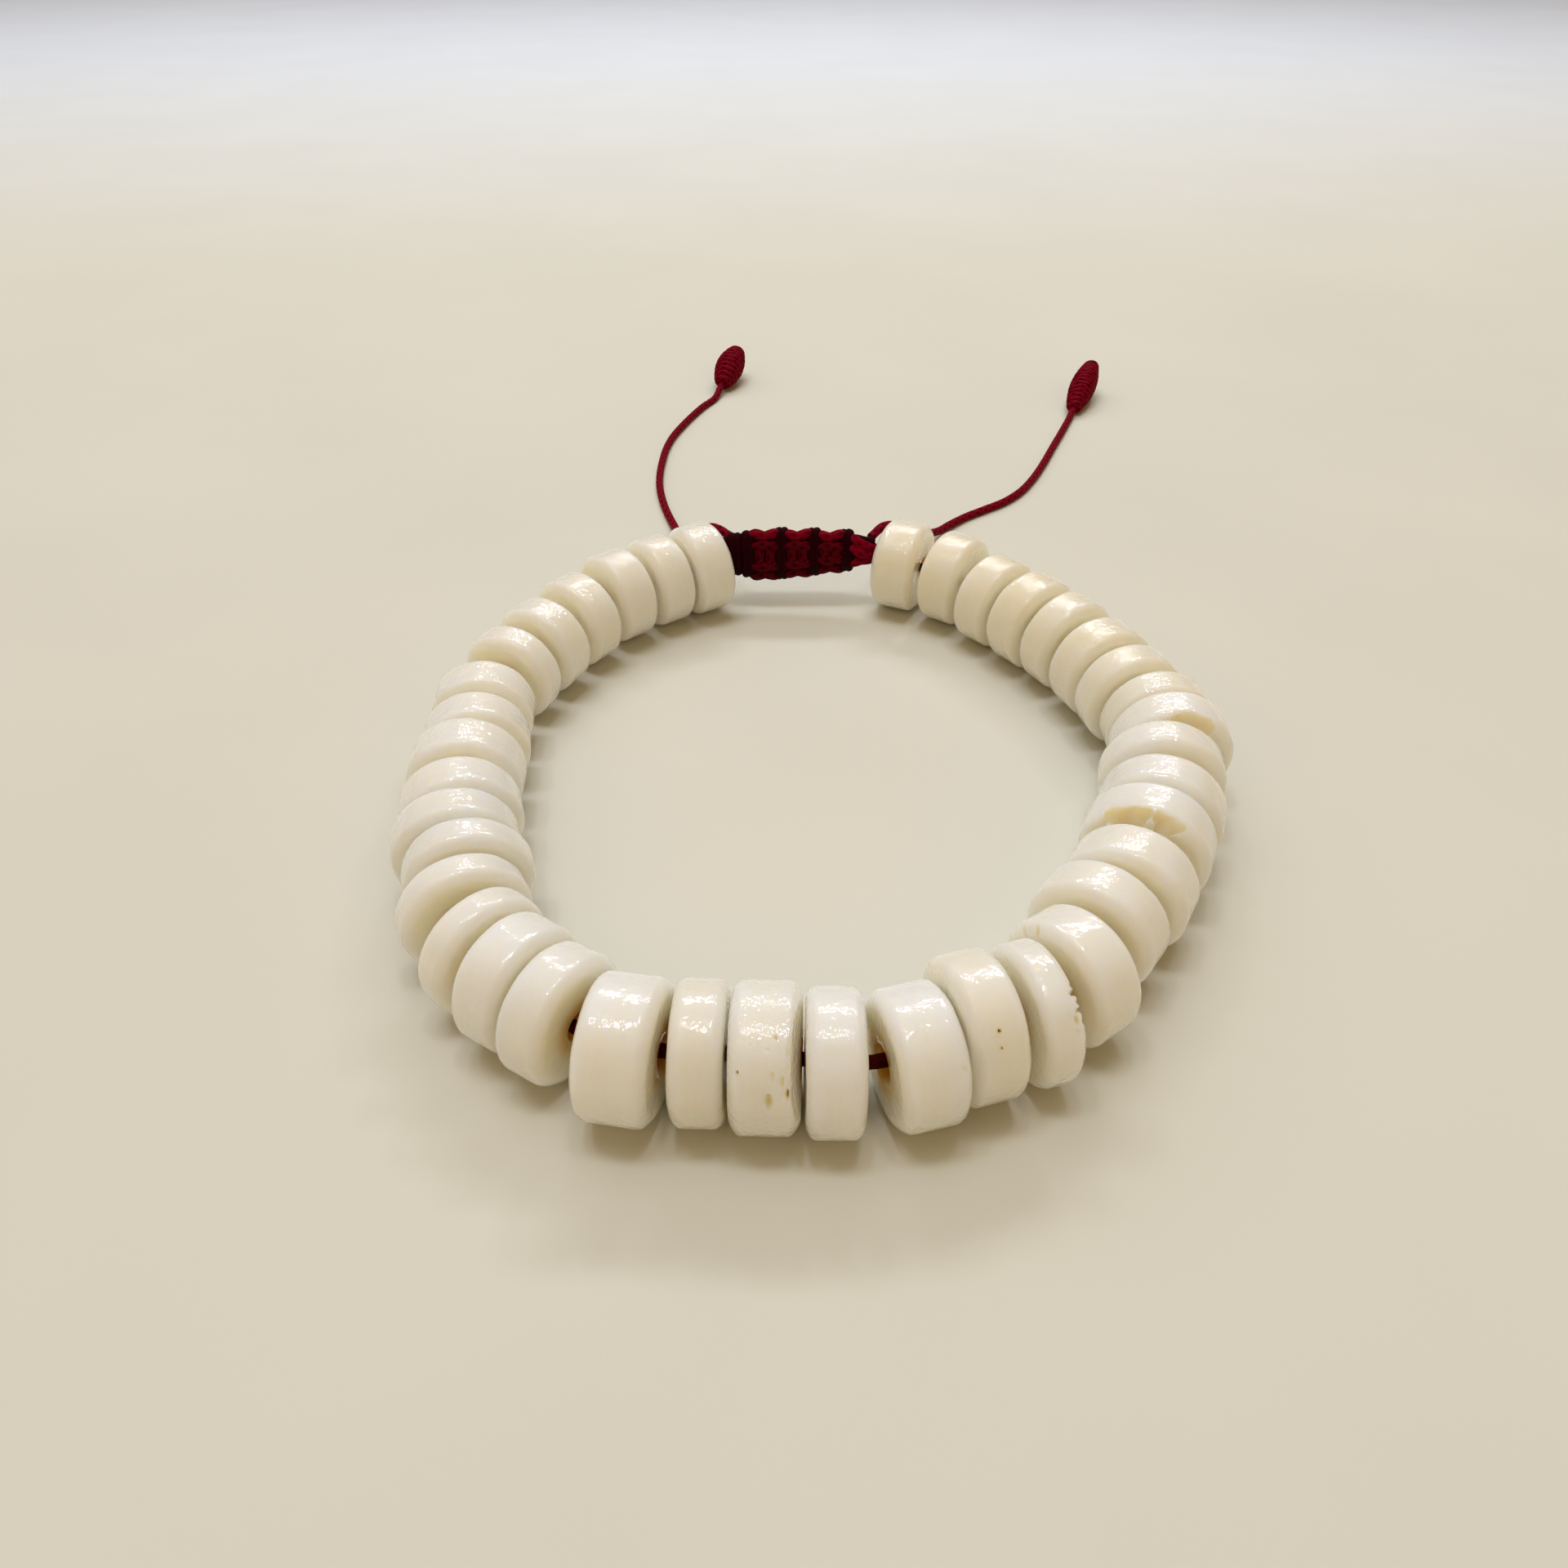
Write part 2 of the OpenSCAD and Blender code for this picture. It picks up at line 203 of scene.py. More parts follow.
# Scoops and pits: bead, place along it from its middle in mm, turn from the top in degrees, half sizes along
# and round it in mm, depth in mm, and how dark the painted shade inside it is, from 0 to 1
PITS = (
    (19, 0.73, 24.0, 0.14, 0.16, 0.12, 0.75), (19, -1.64, 48.5, 0.13, 0.18, 0.12, 1.00),
    (19, 0.58, 50.9, 0.14, 0.36, 0.26, 0.25), (19, 1.20, 54.8, 0.16, 0.44, 0.30, 0.35),
    (19, 1.55, 63.8, 0.16, 0.50, 0.30, 0.90), (19, 0.34, 70.8, 0.26, 0.64, 0.44, 0.28),
    (19, 1.10, 66.0, 0.08, 0.22, 0.08, 0.10), (19, 0.05, 60.0, 0.07, 0.16, 0.06, 0.10),
    (19, -0.90, 30.0, 0.10, 0.12, 0.06, 0.10), (19, 0.20, 33.0, 0.14, 0.10, 0.07, 0.05),
    (22, -0.22, 42.7, 0.20, 0.20, 0.14, 1.00), (22, -0.26, 54.7, 0.17, 0.15, 0.10, 1.00),
    (22, -0.45, 46.0, 0.10, 0.12, 0.05, 0.40), (22, 0.05, 53.0, 0.16, 0.12, 0.05, 0.20),
    (23, 1.45, 29.0, 0.80, 0.22, 0.65, 0.35), (23, 1.45, 43.0, 0.72, 0.20, 0.60, 0.40),
    (23, 1.45, 22.5, 0.40, 0.18, 0.25, 0.10), (23, 1.45, 36.5, 0.45, 0.16, 0.25, 0.10),
    (23, 0.72, 49.0, 0.20, 0.42, 0.26, 0.55), (23, 0.60, 57.0, 0.16, 0.26, 0.12, 0.20),
    (23, 1.45, 52.0, 0.35, 0.30, 0.35, 0.20), (25, 1.95, 32.0, 0.40, 0.35, 0.30, 0.20),
    (16, 0.24, 8.9, 0.10, 0.12, 0.05, 0.60), (13, 0.90, 40.0, 0.12, 0.12, 0.06, 0.80),
    (21, 1.70, 52.0, 0.14, 0.22, 0.06, 0.30), (22, 1.95, 60.0, 0.10, 0.16, 0.05, 0.45),
)

# Chips out of a bead's edge: bead, which face, turn from the top in degrees, half sizes along, round and into
# it in mm, and how much painted shade it has where it is deep, from 0 to 1
CHIPS = (
    (27, -1, -62.0, 0.50, 1.9, 1.6, 0.42), (27, -1, -24.0, 0.85, 2.3, 2.2, 0.45),
    (27, -1, 16.0, 0.72, 1.6, 1.9, 0.40), (30, -1, 2.0, 0.66, 3.0, 2.3, 0.36),
    (30, -1, 24.0, 0.50, 1.3, 1.8, 0.40), (24, -1, -50.0, 0.42, 0.34, 1.2, 0.5),
    (24, -1, -31.0, 0.46, 0.34, 1.2, 0.5), (24, -1, -22.0, 0.25, 0.22, 0.8, 0.5),
    (23, 1, -6.0, 0.50, 2.9, 0.5, 0.0), (19, 1, 26.0, 0.80, 0.45, 0.7, 0.15),
    (19, 1, 36.0, 1.00, 0.50, 0.8, 0.2), (19, 1, 47.0, 0.95, 0.40, 0.7, 0.2),
    (19, 1, 58.0, 0.85, 0.50, 0.8, 0.15),
)
# How far outside the edge a chip is centred, and how deep it is when its painted shade is full, in mm
CHIP_OUT = 0.1
CHIP_SHADE_DEPTH = 0.35
# The height of the broad and the fine waves in a chip's outline, as shares of its size
CHIP_WAVES = (0.13, 0.07)
# Pits are sunk only where the bead is less than this many mm in from its barrel. Then the power that rounds a
# pit's floor, and how much sooner towards its middle its painted shade is full
PIT_REACH = 2
PIT_ROUND = 0.7
PIT_SHADE_SPREAD = 1.25

# How much wider than its frame node each bead is before its flats are ground, in mm
USUAL_SURPLUS = 0.12
SURPLUS = {17: 0.26, 19: 0.36, 22: 0.20}
# How much thicker than its frame node a bead is, in mm
THICKER = {18: 0.14, 19: 0.16}

# Bone, in mm: how wide its growth clouds are, how long and how far apart its lines of grain are, and how wide
# the waves and pores of its polish are. Then how far the clouds and the grain shift it from white to yellow
CLOUD_WIDTH = 5
GRAIN_LENGTH = 6
GRAIN_SPACING = 0.3
WAVE_WIDTH = 1.2
PORE_WIDTH = 0.45
CLOUD_SHARE = 0.9
GRAIN_SHARE = 0.35

# How finely a bead is divided round it and over its section: the plain ones, those with chips, those with
# fine marks, and the one with the finest
PLAIN_STEPS = (104, 56)
CHIPPED_STEPS = (190, 92)
FINE_STEPS = (240, 116)
FINEST_STEPS = (300, 150)
FINE_BEADS = {22, 23, 24}
FINEST_BEAD = 19

# How yellow each bead is, from 0 to 1, and how coarse its polish is, where 1 gives pores of the full height
LOOKS = {
    1: (0.32, 1.3), 2: (0.42, 1.3), 3: (0.34, 1.3), 4: (0.42, 1.3), 5: (0.26, 1.3), 6: (0.30, 1.2),
    7: (0.26, 1.1), 8: (0.20, 1.0), 9: (0.18, 1.0), 10: (0.18, 0.9), 11: (0.18, 0.9), 12: (0.18, 0.8),
    13: (0.20, 0.7), 14: (0.20, 0.6), 15: (0.16, 0.6), 16: (0.14, 0.6), 17: (0.10, 0.6), 18: (0.42, 0.7),
    19: (0.26, 1.0), 20: (0.06, 0.7), 21: (0.12, 0.6), 22: (0.48, 0.6), 23: (0.30, 0.9), 24: (0.28, 0.7),
    25: (0.26, 0.7), 26: (0.24, 0.7), 27: (0.18, 0.8), 28: (0.24, 0.9), 29: (0.26, 0.9), 30: (0.26, 1.0),
    31: (0.55, 1.1), 32: (0.62, 1.2), 33: (0.68, 1.3), 34: (0.72, 1.3), 35: (0.75, 1.3), 36: (0.75, 1.3),
    37: (0.68, 1.3), 38: (0.62, 1.3),
}


def linear(colour):
    """An sRGB hex colour as linear RGB."""
    parts = [int(colour[i:i + 2], 16) / 255 for i in (1, 3, 5)]
    return tuple(c / 12.92 if c <= 0.04045 else ((c + 0.055) / 1.055) ** 2.4 for c in parts)


def rgba(colour):
    return (*linear(colour), 1.0) if isinstance(colour, str) else (*colour, 1.0)


def add(tree, kind, *inputs, **settings):
    """Adds a node with its settings. Its inputs are values, sockets or nodes, in order or as one dict."""
    node = tree.nodes.new(kind)
    for name, value in settings.items():
        setattr(node, name, value)
    given = inputs[0] if inputs and isinstance(inputs[0], dict) else dict(enumerate(inputs))
    for name, value in given.items():
        if isinstance(value, bpy.types.Node):
            value = value.outputs[0]
        if isinstance(value, bpy.types.NodeSocket):
            tree.links.new(value, node.inputs[name])
        else:
            node.inputs[name].default_value = value
    return node


def started(name, floats, whole):
    """A new Geometry Nodes tree with those inputs and a material, and the outputs of its input node."""
    tree = bpy.data.node_groups.new(name, "GeometryNodeTree")
    face = tree.interface
    face.new_socket("Geometry", in_out="INPUT", socket_type="NodeSocketGeometry")
    for kind, labels in (("Float", floats), ("Int", whole), ("Material", ("Material",))):
        for label in labels:
            face.new_socket(label, in_out="INPUT", socket_type="NodeSocket" + kind)
    face.new_socket("Geometry", in_out="OUTPUT", socket_type="NodeSocketGeometry")
    return tree, add(tree, "NodeGroupInput").outputs


def finished(tree, shape, coat):
    """Ends a Geometry Nodes tree: smooth, with its instances made real and its material set."""
    smooth = add(tree, "GeometryNodeSetShadeSmooth", shape)
    real = add(tree, "GeometryNodeRealizeInstances", smooth)
    done = add(tree, "GeometryNodeSetMaterial", {"Geometry": real, "Material": coat})
    add(tree, "NodeGroupOutput", done)
    return tree


# Sizes and colours


def size_property(name, description, default):
    return bpy.props.FloatProperty(
        name=name, description=description, default=default, min=0.0, unit="LENGTH"
    )


def colour_property(name, description, default):
    return bpy.props.FloatVectorProperty(
        name=name, description=description, default=linear(default), size=3, min=0.0, max=1.0, subtype="COLOR"
    )


class BraceletSizes(bpy.types.PropertyGroup):
    hole: size_property("Hole", "Diameter of the hole through each bead", 2.6 * MM)
    rim_round: size_property("Rim round", "Rounding where a bead's face meets its barrel", 0.75 * MM)
    crown: size_property("Crown", "Radius of the barrel's crown along the bead", 4.5 * MM)
    cord: size_property("Cord", "Diameter of the thread and the tails", 1.0 * MM)
    knotting: size_property("Knotting strand", "Diameter of the strands tied round the slide", 1.2 * MM)


class BraceletColours(bpy.types.PropertyGroup):
    bone: colour_property("Bone", "Polished bone in full light", "#F0F0EC")
    bone_warm: colour_property("Warm bone", "Bone in its yellower bands", "#EBE1C8")
    # painted light: the sawn faces are lighter, standing in for light that comes through the bone into the
    # gaps
    bone_face_glow: colour_property("Sawn bone", "The sawn faces, where light comes through the bead", "#FAF4E2")
    # painted glow: yellow close to the hole, for light that comes through the bone into the gaps
    bone_bore_glow: colour_property("Bone at the bore", "The sawn faces close to the hole", "#F2C866")
    # painted shade: the tan of a chip's hollow, and of a pit's shallow edge
    bone_chip_shade: colour_property("Chipped bone", "Bone where the polish is chipped away", "#E6DAB4")
    # painted shade: the dark brown at the bottom of a pit
    bone_pit_shade: colour_property("Pitted bone", "The bottom of a pore or a pit", "#4A3218")
    cord: colour_property("Cord", "The cord on its strands", "#7C021E")
    # painted shade: the cord's colour in the hollows between its strands
    cord_crease_shade: colour_property("Cord, deep", "The cord between its strands", "#3A010C")
    # painted shade: the cord darkened where it lies in the gaps between the beads
    thread: colour_property("Thread", "The thread in the gaps between the beads", "#3C0408")
    knotting: colour_property("Knotting cord, top", "The loops along the top of the slide", "#7A001C")
    # painted shade: the slide's face is darker because it is turned from the light
    knotting_face_shade: colour_property("Knotting cord, face", "The bars and loops on the slide's face", "#52000F")
    # painted shadow: the wraps and the core are near black as the shadow in the crevices between the loops
    knotting_crevice_shadow: colour_property("Knotting cord, inner", "The wraps and the core of the slide", "#240006")
    floor: colour_property("Floor", "The plain floor", "#D9D8CB")


# Beads


def bead_rows():
    """Each bead's centre, heading, diameter and thickness in metres and radians, read from its frame node."""
    rows = []
    for number in range(1, BEAD_COUNT + 1):
        name = f"bead_{number:02d}"
        low, high = (np.array(corner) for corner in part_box(name))
        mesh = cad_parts[name].data
        corners = np.empty(len(mesh.vertices) * 3)
        mesh.vertices.foreach_get("co", corners)
        corners = corners.reshape(-1, 3)
        normals = np.empty(len(mesh.polygons) * 3)
        areas = np.empty(len(mesh.polygons))
        mesh.polygons.foreach_get("normal", normals)
        mesh.polygons.foreach_get("area", areas)
        normals = normals.reshape(-1, 3)
        level = np.abs(normals[:, 2]) < 1e-3
        doubled = 2 * np.arctan2(normals[level, 1], normals[level, 0])
        sine, cosine = (areas[level] * np.sin(doubled)).sum(), (areas[level] * np.cos(doubled)).sum()
        heading = 0.5 * math.atan2(sine, cosine)
        along = corners @ np.array((math.cos(heading), math.sin(heading), 0.0))
        rows.append([(low + high) / 2, heading, high[2] - low[2], along.max() - along.min()])
    for i, row in enumerate(rows):
        before, after = rows[max(i - 1, 0)][0], rows[min(i + 1, BEAD_COUNT - 1)][0]
        onward = after - before
        if onward[0] * math.cos(row[1]) + onward[1] * math.sin(row[1]) < 0:
            row[1] += math.pi
    return rows


def disc_tree():
    """Geometry Nodes: a drilled, crowned disc with rounded rims round its own Z, a little uneven."""
    tree, given = started(
        "ground_disc", ("Diameter", "Thickness", "Hole", "Rim Round", "Crown", "Unevenness", "Seed"),
        ("Around", "Across"),
    )
    radius = add(tree, MATH, given["Diameter"], 0.5, operation="MULTIPLY")
    bore = add(tree, MATH, given["Hole"], 0.5, operation="MULTIPLY")
    wide = add(tree, MATH, radius, bore, operation="SUBTRACT")
    middle = add(tree, MATH, add(tree, MATH, radius, bore, operation="ADD"), 0.5, operation="MULTIPLY")
    section = add(
        tree, "GeometryNodeCurvePrimitiveQuadrilateral", {"Width": wide, "Height": given["Thickness"]},
        mode="RECTANGLE",
    )
    shift = add(tree, "ShaderNodeCombineXYZ", {"X": middle})
    moved = add(tree, "GeometryNodeSetPosition", {"Geometry": section, "Offset": shift})
    place = add(tree, "GeometryNodeInputPosition")
    x, y, _ = add(tree, "ShaderNodeSeparateXYZ", place).outputs
    # the rims are rounded, and the drill leaves only a slightly broken edge at the hole
    outer = add(tree, MATH, x, middle, operation="GREATER_THAN")
    drilled = DRILL_ROUND * MM
    rounder = add(tree, MATH, given["Rim Round"], drilled, operation="SUBTRACT")
    rim = add(tree, MATH, outer, rounder, operation="MULTIPLY")
    rounding = add(tree, MATH, rim, drilled, operation="ADD")
    rounded = add(
        tree, "GeometryNodeFilletCurve", {"Curve": moved, "Count": CORNER_POINTS, "Radius": rounding},
        mode="POLY",
    )
    # the barrel bulges: flat in its middle, it comes in towards its rims by up to the sag of its crown
    double = add(tree, MATH, given["Crown"], 2.0, operation="MULTIPLY")
    arc = add(tree, MATH, add(tree, MATH, y, y, operation="MULTIPLY"), double, operation="DIVIDE")
    half = add(tree, MATH, given["Thickness"], 0.5, operation="MULTIPLY")
    along = add(tree, MATH, y, half, operation="DIVIDE")
    sag = add(tree, MATH, arc, add(tree, MATH, along, along, operation="MULTIPLY"), operation="MULTIPLY")
    share = add(tree, MATH, add(tree, MATH, x, bore, operation="SUBTRACT"), wide, operation="DIVIDE")
    faded = add(tree, MATH, share, share, operation="MULTIPLY")
    crowned = add(tree, MATH, sag, faded, operation="MULTIPLY")
    inward = add(tree, "ShaderNodeCombineXYZ", {"X": add(tree, MATH, crowned, -1.0, operation="MULTIPLY")})
    profile = add(tree, "GeometryNodeSetPosition", {"Geometry": rounded, "Offset": inward})
    # a grid is wrapped round the hole: each of its columns is one section
    columns = add(tree, MATH, given["Around"], 1.0, operation="ADD")
    rows = add(tree, MATH, given["Across"], 1.0, operation="ADD")
    grid = add(tree, "GeometryNodeMeshGrid", {"Vertices X": columns, "Vertices Y": rows})
    index = add(tree, "GeometryNodeInputIndex")
    beyond = add(tree, MATH, index, 0.5, operation="ADD")
    column = add(tree, MATH, add(tree, MATH, beyond, rows, operation="DIVIDE"), operation="FLOOR")
    row = add(tree, MATH, index, add(tree, MATH, column, rows, operation="MULTIPLY"), operation="SUBTRACT")
    factor = add(tree, MATH, row, given["Across"], operation="DIVIDE")
    sample = add(tree, "GeometryNodeSampleCurve", {"Curves": profile, "Factor": factor}, mode="FACTOR")
    r, z, _ = add(tree, "ShaderNodeSeparateXYZ", sample.outputs["Position"]).outputs
    part = add(tree, MATH, column, given["Around"], operation="DIVIDE")
    turn = add(tree, MATH, part, 2 * math.pi, operation="MULTIPLY")
    ways = [
        add(tree, MATH, r, add(tree, MATH, turn, operation=way), operation="MULTIPLY")
        for way in ("COSINE", "SINE")
    ]
    spun = add(tree, "ShaderNodeCombineXYZ", *ways, z)
    disc = add(tree, "GeometryNodeSetPosition", {"Geometry": grid.outputs["Mesh"], "Position": spun})
    closed = add(tree, "GeometryNodeMergeByDistance", {"Geometry": disc, "Distance": MERGE_GAP * MM})
    shape = add(
        tree, "GeometryNodeStoreNamedAttribute", {"Geometry": closed, "Name": "in_bead", "Value": place},
        data_type="FLOAT_VECTOR", domain="POINT",
    )
    # grinding by hand leaves a low wander of the whole form, and a finer one that breaks up the gloss
    for feature, height in WANDERS:
        noise = add(
            tree, "ShaderNodeTexNoise",
            {"Vector": place, "W": given["Seed"], "Scale": 1 / (feature * MM), "Detail": 1.0},
            noise_dimensions="4D",
        )
        level = add(
            tree, "ShaderNodeVectorMath", noise.outputs["Color"], (0.5, 0.5, 0.5), operation="SUBTRACT"
        )
        tall = add(tree, MATH, given["Unevenness"], height, operation="MULTIPLY")
        scaled = add(tree, "ShaderNodeVectorMath", {0: level, "Scale": tall}, operation="SCALE")
        shape = add(tree, "GeometryNodeSetPosition", {"Geometry": shape, "Offset": scaled})
    return finished(tree, shape, given["Material"])


def grown(obj, tree, values):
    """The plain mesh that a Geometry Nodes tree makes of an object, which is removed."""
    modifier = obj.modifiers.new(tree.name, "NODES")
    modifier.node_group = tree
    for item in tree.interface.items_tree:
        if item.in_out == "INPUT" and item.name in values:
            modifier[item.identifier] = values[item.name]
    bpy.context.view_layer.update()
    mesh = bpy.data.meshes.new_from_object(obj.evaluated_get(bpy.context.evaluated_depsgraph_get()))
    obj.modifiers.remove(modifier)
    data = obj.data
    bpy.data.objects.remove(obj)
    (bpy.data.meshes if isinstance(data, bpy.types.Mesh) else bpy.data.curves).remove(data)
    return mesh


def outward(mesh):
    """Turns all the faces of a closed mesh outwards."""
    shell = bmesh.new()
    shell.from_mesh(mesh)
    bmesh.ops.recalc_face_normals(shell, faces=shell.faces)
    shell.to_mesh(mesh)
    shell.free()


def ground(corners, number):
    """Grinds a bead's flats: what stands out of each flat's plane is pressed onto it."""
    chance = np.random.default_rng(GRINDING_SEED + number)
    flats = [(a, tilt, depth) for bead, a, tilt, depth in FLATS if bead == number]
    for turn in np.arange(0, 360, FLAT_EVERY):
        turn += chance.uniform(-FLAT_SHIFT, FLAT_SHIFT)
        flats.append((turn, chance.uniform(-FLAT_TILT, FLAT_TILT), chance.uniform(0.0, FLAT_DEPTH)))
    for turn, tilt, depth in flats:
        turn, tilt = math.radians(turn), math.radians(tilt)
        normal = np.array(
            (math.cos(turn) * math.cos(tilt), math.sin(turn) * math.cos(tilt), math.sin(tilt))
        )
        height = corners @ normal
        over = np.maximum(height - (height.max() - depth * MM), 0)
        corners -= over[:, None] * normal
    return corners


def marked(corners, number, diameter, thickness):
    """Sinks a bead's pits and chips, and says how much painted shade each point of it has."""
    dark = np.zeros(len(corners))
    reach = np.linalg.norm(corners[:, :2], axis=1)
    turn = np.arctan2(corners[:, 1], corners[:, 0])
    outward_way = np.stack((np.cos(turn), np.sin(turn), np.zeros(len(turn))), axis=1)
    for bead, face, at, along, across, deep, shade in CHIPS:
        if bead != number:
            continue
        at = math.radians(at)
        edge, side = diameter / 2 + CHIP_OUT * MM, thickness / 2 + CHIP_OUT * MM
        middle = np.array((math.cos(at) * edge, math.sin(at) * edge, face * side))
        ways = np.array(((0, 0, 1), (-math.sin(at), math.cos(at), 0), (math.cos(at), math.sin(at), 0)))
        inside = ((corners - middle) @ ways.T) / (np.array((along, across, deep)) * MM)
        length = np.linalg.norm(inside, axis=1)
        way = inside / np.maximum(length, 1e-6)[:, None]
        broad = CHIP_WAVES[0] * np.sin(4 * way[:, 1] + 3 * way[:, 0] + number)
        fine = CHIP_WAVES[1] * np.sin(9 * way[:, 1] - 5 * way[:, 2])
        uneven = 1 + broad + fine
        hit = (length < uneven) & (length > 1e-6)
        hollow = middle + (way * uneven[:, None] * np.array((along, across, deep)) * MM) @ ways
        # painted shade: a chip is darker the deeper its hollow is
        sunk = np.linalg.norm(hollow - corners, axis=1) / (CHIP_SHADE_DEPTH * MM)
        dark = np.where(hit, np.maximum(dark, shade * np.clip(sunk, 0, 1)), dark)
        corners[hit] = hollow[hit]
    for bead, place, at, along, across, deep, shade in PITS:
        if bead != number:
            continue
        gone = (turn - math.radians(at) + math.pi) % (2 * math.pi) - math.pi
        q = ((corners[:, 2] / MM - place) / along) ** 2 + (gone * reach / MM / across) ** 2
        q = np.where(reach > diameter / 2 - PIT_REACH * MM, q, 4.0)
        sink = np.clip(1 - q, 0, 1) ** PIT_ROUND
        corners -= outward_way * (sink * deep * MM)[:, None]
        # painted shade: a pit is darker towards its middle, where it is deepest
        dark = np.maximum(dark, shade * np.clip(PIT_SHADE_SPREAD * (1 - q), 0, 1))
    return corners, dark


def linked(name, data):
    obj = bpy.data.objects.new(name, data)
    bpy.context.scene.collection.objects.link(obj)
    return obj


def piece(name, mesh, slot, *nodes):
    """A finished mesh as a named piece that rides on the bracelet and stands for its frame nodes."""
    mesh.name = name
    obj = linked(name, mesh)
    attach(obj, "root")
    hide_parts(*nodes)
    return obj


# Cords


def smoothed(points, spacing):
    """A close row of points on one smooth curve through the given ones, in the same units."""
    given = np.array(points, dtype=float)
    ends = np.vstack((2 * given[0] - given[1], given, 2 * given[-1] - given[-2]))
    laid = []
    for i in range(1, len(ends) - 2):
        a, b, c, d = ends[i - 1:i + 3]
        count = max(2, int(np.linalg.norm(c - b) / spacing))
        for t in np.arange(count) / count:
            bend, twist = 2 * a - 5 * b + 4 * c - d, 3 * b - a - 3 * c + d
            laid.append(0.5 * (2 * b + (c - a) * t + bend * t ** 2 + twist * t ** 3))
    laid.append(given[-1])
    return np.array(laid)


def crossing(tree, ring, run, pairs, plait):
    """How high a braid's crossing strands stand, from -1 to 1, round a cord's ring and along its run."""
    x, y, _ = add(tree, "ShaderNodeSeparateXYZ", ring).outputs
    turn = add(tree, MATH, y, x, operation="ARCTAN2")
    wound = add(tree, MATH, turn, pairs, operation="MULTIPLY")
    turns = add(tree, MATH, run, 2 * math.pi, operation="MULTIPLY")
    slid = add(tree, MATH, turns, plait, operation="DIVIDE")
    strands = [
        add(tree, MATH, add(tree, MATH, wound, slid, operation=way), operation="SINE")
        for way in ("ADD", "SUBTRACT")
    ]
    return add(tree, MATH, *strands, operation="MAXIMUM")


def cord_tree():
    """Geometry Nodes: a round braided cord along each spline, with its crossing strands in low relief."""
    tree, given = started(
        "braided_cord", ("Diameter", "Ring Spacing", "Strands", "Plait", "Relief"), ("Sides",)
    )
    path = add(
        tree, "GeometryNodeResampleCurve", {"Curve": given["Geometry"], "Length": given["Ring Spacing"]},
        mode="LENGTH",
    )
    length = add(tree, "GeometryNodeSplineParameter").outputs["Length"]
    along = add(
        tree, "GeometryNodeStoreNamedAttribute", {"Geometry": path, "Name": "cord_along", "Value": length},
        data_type="FLOAT", domain="POINT",
    )
    radius = add(tree, MATH, given["Diameter"], 0.5, operation="MULTIPLY")
    ring = add(
        tree, "GeometryNodeCurvePrimitiveCircle", {"Resolution": given["Sides"], "Radius": radius},
        mode="RADIUS",
    )
    spot = add(tree, "GeometryNodeInputPosition")
    way = add(tree, "ShaderNodeVectorMath", spot, operation="NORMALIZE")
    round_it = add(
        tree, "GeometryNodeStoreNamedAttribute", {"Geometry": ring, "Name": "cord_ring", "Value": way},
        data_type="FLOAT_VECTOR", domain="POINT",
    )
    tube = add(
        tree, "GeometryNodeCurveToMesh", {"Curve": along, "Profile Curve": round_it, "Fill Caps": True}
    )
    run, rim = (
        add(tree, "GeometryNodeInputNamedAttribute", {"Name": name}, data_type=kind)
        for kind, name in (("FLOAT", "cord_along"), ("FLOAT_VECTOR", "cord_ring"))
    )
    pairs = add(tree, MATH, given["Strands"], 0.5, operation="MULTIPLY")
    high = crossing(tree, rim, run, pairs, given["Plait"])
    low = add(tree, MATH, high, 0.5, operation="SUBTRACT")
    lift = add(tree, MATH, low, given["Relief"], operation="MULTIPLY")
    normal = add(tree, "GeometryNodeInputNormal").outputs[0]
    offset = add(tree, "ShaderNodeVectorMath", {0: normal, "Scale": lift}, operation="SCALE")
    raised = add(tree, "GeometryNodeSetPosition", {"Geometry": tube, "Offset": offset})
    return finished(tree, raised, given["Material"])


def cord_mesh(name, lines, diameter, finish="braided_cord"):
    """Braided cord of that diameter and finish along each of the lines, whose points are in metres."""
    curve = bpy.data.curves.new(name, "CURVE")
    curve.dimensions = "3D"
    for line in lines:
        spline = curve.splines.new("POLY")
        spline.points.add(len(line) - 1)
        spline.points.foreach_set("co", np.hstack((line, np.ones((len(line), 1)))).ravel())
    tree = bpy.data.node_groups.get("braided_cord") or cord_tree()
    mesh = grown(
        linked(name, curve), tree,
        {
            "Diameter": diameter, "Ring Spacing": RING_SPACING * MM, "Sides": CORD_SIDES, "Strands": STRANDS,
            "Plait": PLAIT_SHARE * diameter, "Relief": CORD_RELIEF * MM, "Material": material(finish),
        },
    )
    outward(mesh)
    return mesh


def thread_route(rows):
    """The thread's way through the middles of the gaps between the beads, in metres."""
    points = [Vector(THREAD_LEFT_END) * MM]
    for here, there in zip(rows, rows[1:]):
        leave = Vector(here[0]) + Vector((math.cos(here[1]), math.sin(here[1]), 0)) * here[3] / 2
        reach = Vector(there[0]) - Vector((math.cos(there[1]), math.sin(there[1]), 0)) * there[3] / 2
        points.append((leave + reach) / 2 + UP * THREAD_LIFT * MM)
    return points + [Vector(THREAD_RIGHT_END) * MM]


def braid_point(x, across, out):
    """A place in the slide knot in metres, from mm along, up its leaning face and out to the front."""
    middle = float(np.interp(x, KNOT_XS, KNOT_MIDDLES))
    lean = math.radians(BRAID_LEAN)
    return (
        x * MM,
        (BRAID_Y + across * math.sin(lean) - out * math.cos(lean)) * MM,
        (middle + across * math.cos(lean) + out * math.sin(lean)) * MM,
    )


